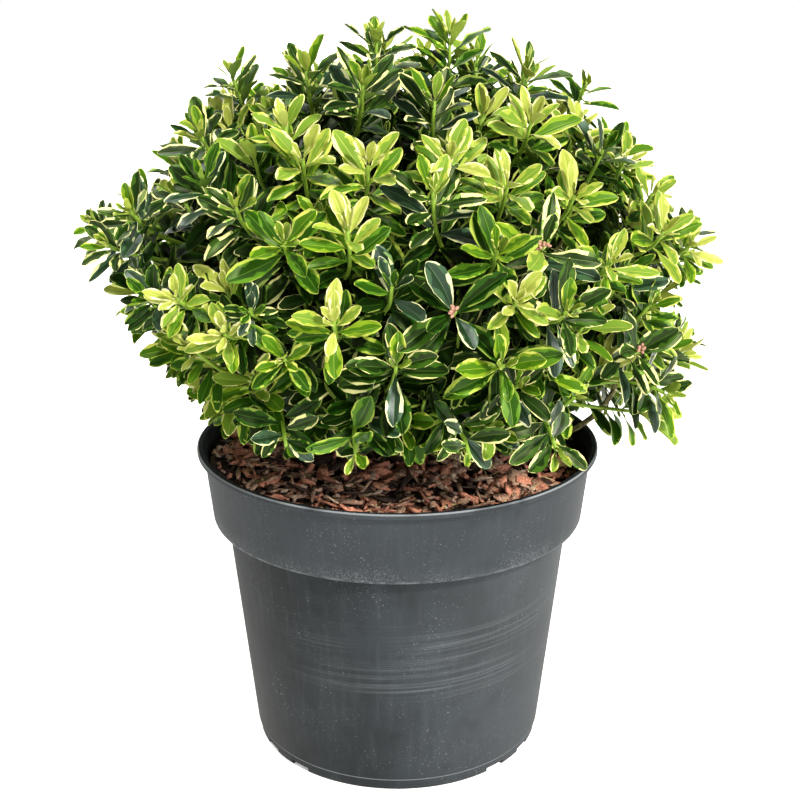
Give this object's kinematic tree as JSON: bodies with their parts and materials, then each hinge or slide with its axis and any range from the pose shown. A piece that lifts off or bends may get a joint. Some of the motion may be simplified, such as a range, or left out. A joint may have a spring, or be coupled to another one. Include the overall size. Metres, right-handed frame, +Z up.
{
  "type": "potted shrub",
  "caption": "Potted Japanese spindle: a dense rounded evergreen shrub with cream-edged leaves, in a round dark nursery pot filled with bark mulch.",
  "frame": {"origin": "centre of the pot's flat underside, on the ground", "axes": "+Z up; -Y is the side that faces the camera in the picture; +X is the picture's right"},
  "size_m": [0.4327, 0.428, 0.5094],
  "materials": {
    "pot_plastic": "matte",
    "bark_mulch": "matte",
    "spindle_bark": "matte",
    "spindle_foliage": "satin"
  },
  "bodies": {
    "root": {"pot": "pot_plastic", "compost_and_mulch": "bark_mulch", "trunk": "spindle_bark", "bough_leader": "spindle_bark", "bough_middle_1": "spindle_bark", "bough_middle_2": "spindle_bark", "bough_middle_3": "spindle_bark", "bough_middle_4": "spindle_bark", "bough_middle_5": "spindle_bark", "bough_middle_6": "spindle_bark", "bough_middle_7": "spindle_bark", "bough_middle_8": "spindle_bark", "bough_upper_1": "spindle_bark", "bough_upper_2": "spindle_bark", "bough_upper_3": "spindle_bark", "bough_upper_4": "spindle_bark", "bough_skirt_1": "spindle_bark", "bough_skirt_2": "spindle_bark", "bough_skirt_3": "spindle_bark", "bough_skirt_4": "spindle_bark", "bough_skirt_5": "spindle_bark", "bough_skirt_6": "spindle_bark", "bough_skirt_7": "spindle_bark", "bough_skirt_8": "spindle_bark", "foliage_skirt_1": "spindle_foliage", "foliage_skirt_2": "spindle_foliage", "foliage_skirt_3": "spindle_foliage", "foliage_skirt_4": "spindle_foliage", "foliage_skirt_5": "spindle_foliage", "foliage_skirt_6": "spindle_foliage", "foliage_skirt_7": "spindle_foliage", "foliage_skirt_8": "spindle_foliage", "foliage_middle_1": "spindle_foliage", "foliage_middle_2": "spindle_foliage", "foliage_middle_3": "spindle_foliage", "foliage_middle_4": "spindle_foliage", "foliage_middle_5": "spindle_foliage", "foliage_middle_6": "spindle_foliage", "foliage_middle_7": "spindle_foliage", "foliage_middle_8": "spindle_foliage", "foliage_upper_1": "spindle_foliage", "foliage_upper_2": "spindle_foliage", "foliage_upper_3": "spindle_foliage", "foliage_upper_4": "spindle_foliage", "foliage_top": "spindle_foliage"}
  },
  "joints": []
}
